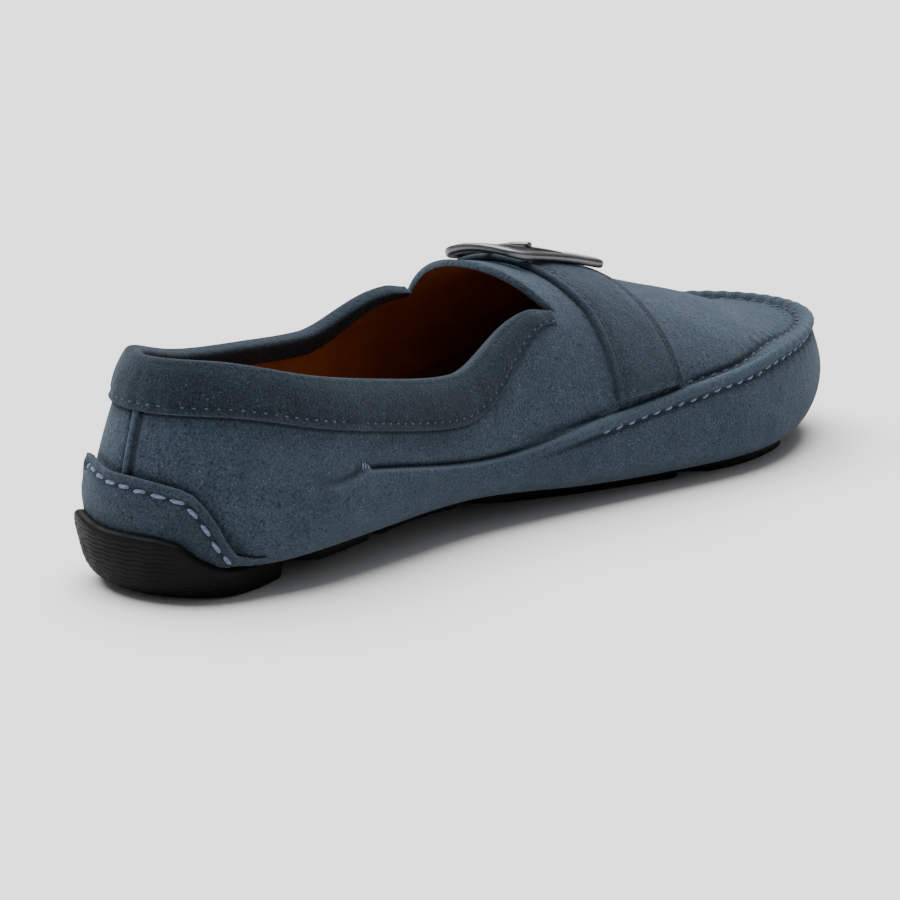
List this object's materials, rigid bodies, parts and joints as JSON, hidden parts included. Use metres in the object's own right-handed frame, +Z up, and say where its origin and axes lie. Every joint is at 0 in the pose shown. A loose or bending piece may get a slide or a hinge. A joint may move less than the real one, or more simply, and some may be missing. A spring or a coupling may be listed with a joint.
{
  "type": "buckle loafer",
  "caption": "Left driving loafer in suede: hollow one-piece upper with hand-sewn apron, folded collar, buckled strap, heel wrap and rubber treads set through the bottom.",
  "frame": {"origin": "centre of the shoe's box at floor level", "axes": "+X towards the toe, +Y towards the outer side, +Z up"},
  "size_m": [0.2904, 0.0992, 0.071],
  "materials": {
    "suede": "napped slate blue suede",
    "suede_band": "napped darker slate blue suede",
    "rubber": "matte black moulded rubber with fine ridges",
    "lining": "smooth orange-brown leather",
    "gunmetal": "dark satin metal"
  },
  "bodies": {
    "root": {"upper": "suede", "heel_wrap": "suede", "back_seam": "suede", "collar": "suede_band", "strap": "suede_band", "insole": "lining", "buckle": "gunmetal", "heel_rubber": "rubber", "tread_toe": "rubber", "tread_outer_ball": "rubber", "tread_inner_ball": "rubber", "tread_outer_joint": "rubber", "tread_inner_joint": "rubber", "tread_outer_waist": "rubber", "tread_inner_waist": "rubber", "tread_outer_shank": "rubber", "tread_inner_shank": "rubber"}
  },
  "joints": []
}
